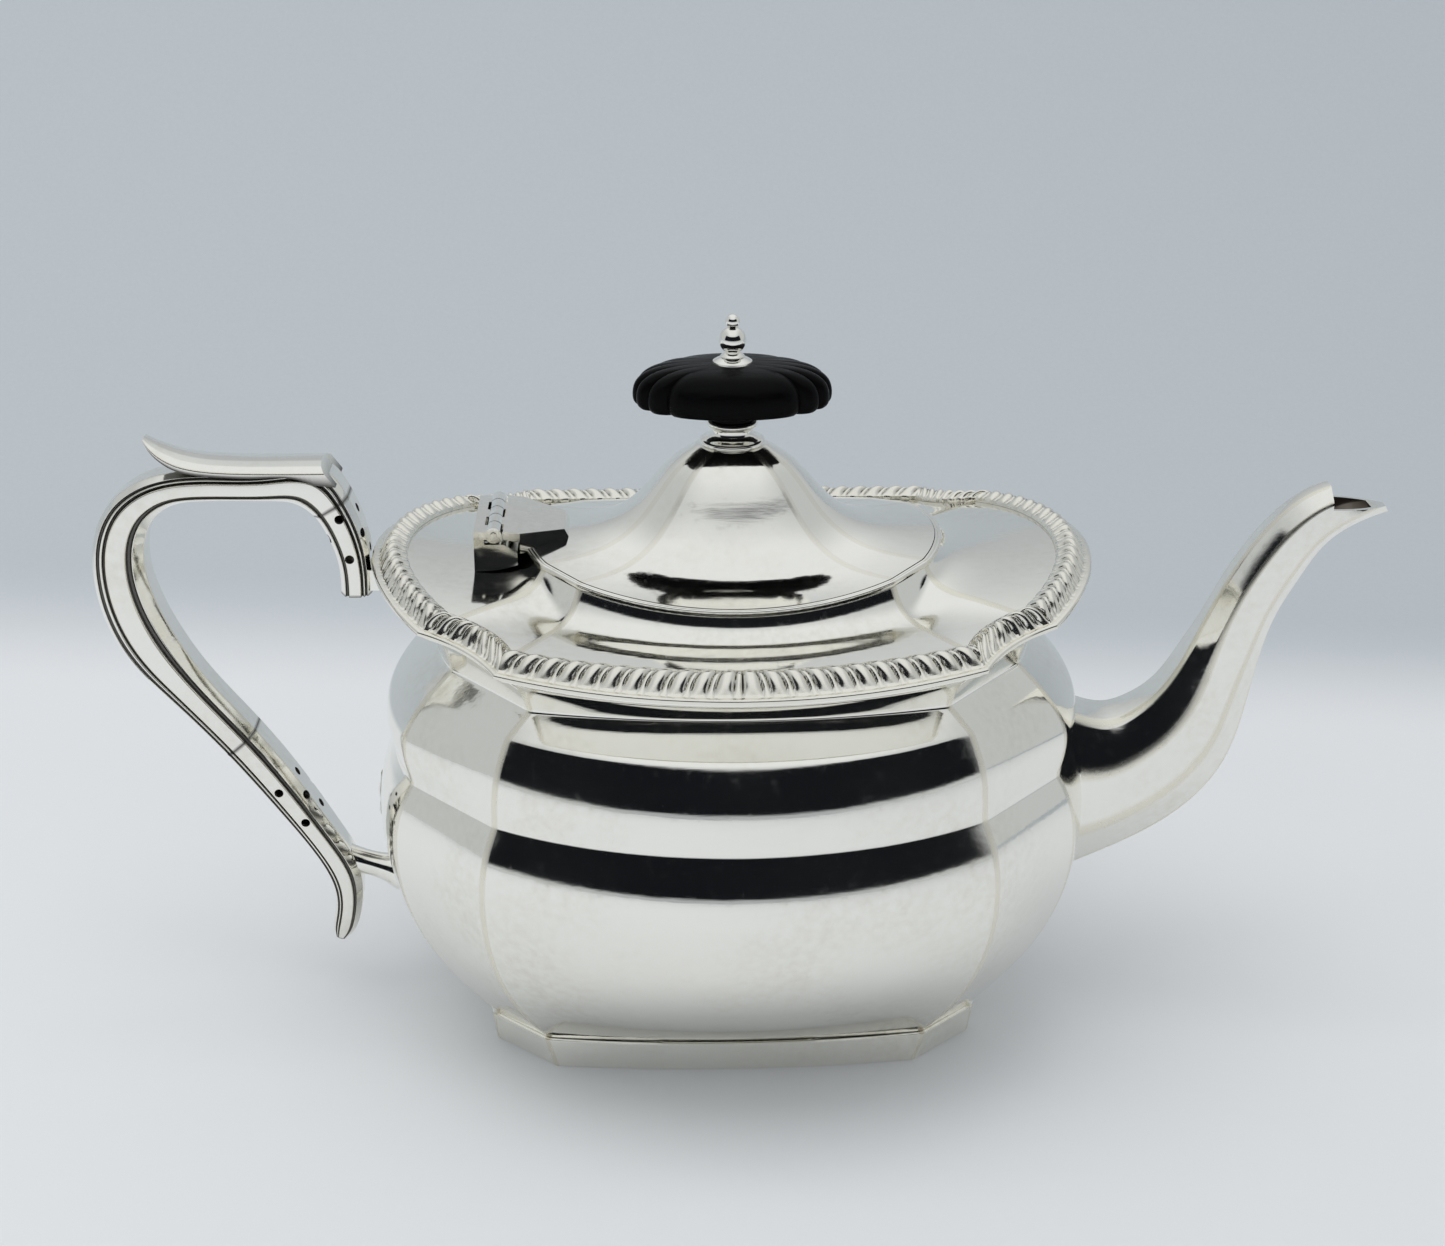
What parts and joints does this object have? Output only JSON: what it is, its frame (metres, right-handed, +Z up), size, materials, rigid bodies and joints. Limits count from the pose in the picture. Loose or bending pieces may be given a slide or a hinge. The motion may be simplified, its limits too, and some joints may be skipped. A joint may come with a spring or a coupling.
{
  "type": "teapot",
  "caption": "Silver-plated teapot with a panelled bombé body, gadrooned rim, hinged pagoda lid with a black fluted knob, faceted spout and hollow vented scroll handle.",
  "frame": {"origin": "middle of the foot ring, on the table under the pot", "axes": "+X towards the spout, -X towards the handle, -Y towards the viewer's side of the picture, +Z up"},
  "size_m": [0.2791, 0.14, 0.1617],
  "materials": {
    "silver": "polished silver plate, warm and lightly worn at the edges",
    "knob": "satin black, ebonised"
  },
  "bodies": {
    "pot": {"body_shell": "silver", "base_plate": "silver", "foot_ring": "silver", "shoulder_plate": "silver", "gadroon_border": "silver", "spout": "silver", "hinge_block": "silver", "hinge_knuckle_front": "silver", "hinge_knuckle_middle": "silver", "hinge_knuckle_back": "silver", "hinge_pin": "silver", "handle_upper_vent": "silver", "handle_grip": "silver", "handle_lower_vent": "silver", "handle_thumb_plate": "silver", "handle_upper_stub": "silver", "handle_back_plate": "silver", "handle_lower_stub": "silver"},
    "lid": {"lid_shell": "silver", "lid_edge_wire": "silver", "lid_bezel": "silver", "hinge_lid_leaf": "silver", "finial_base": "silver", "knob": "knob", "knob_washer": "silver", "finial_bolt": "silver", "finial_nut_washer": "silver", "finial_nut": "silver"}
  },
  "joints": [
    {"name": "lid_hinge", "type": "hinge", "parent": "pot", "child": "lid", "pos_m": [-0.0505, 0, 0.1175], "axis": [0, -1, 0], "range_deg": [0, 95]}
  ]
}
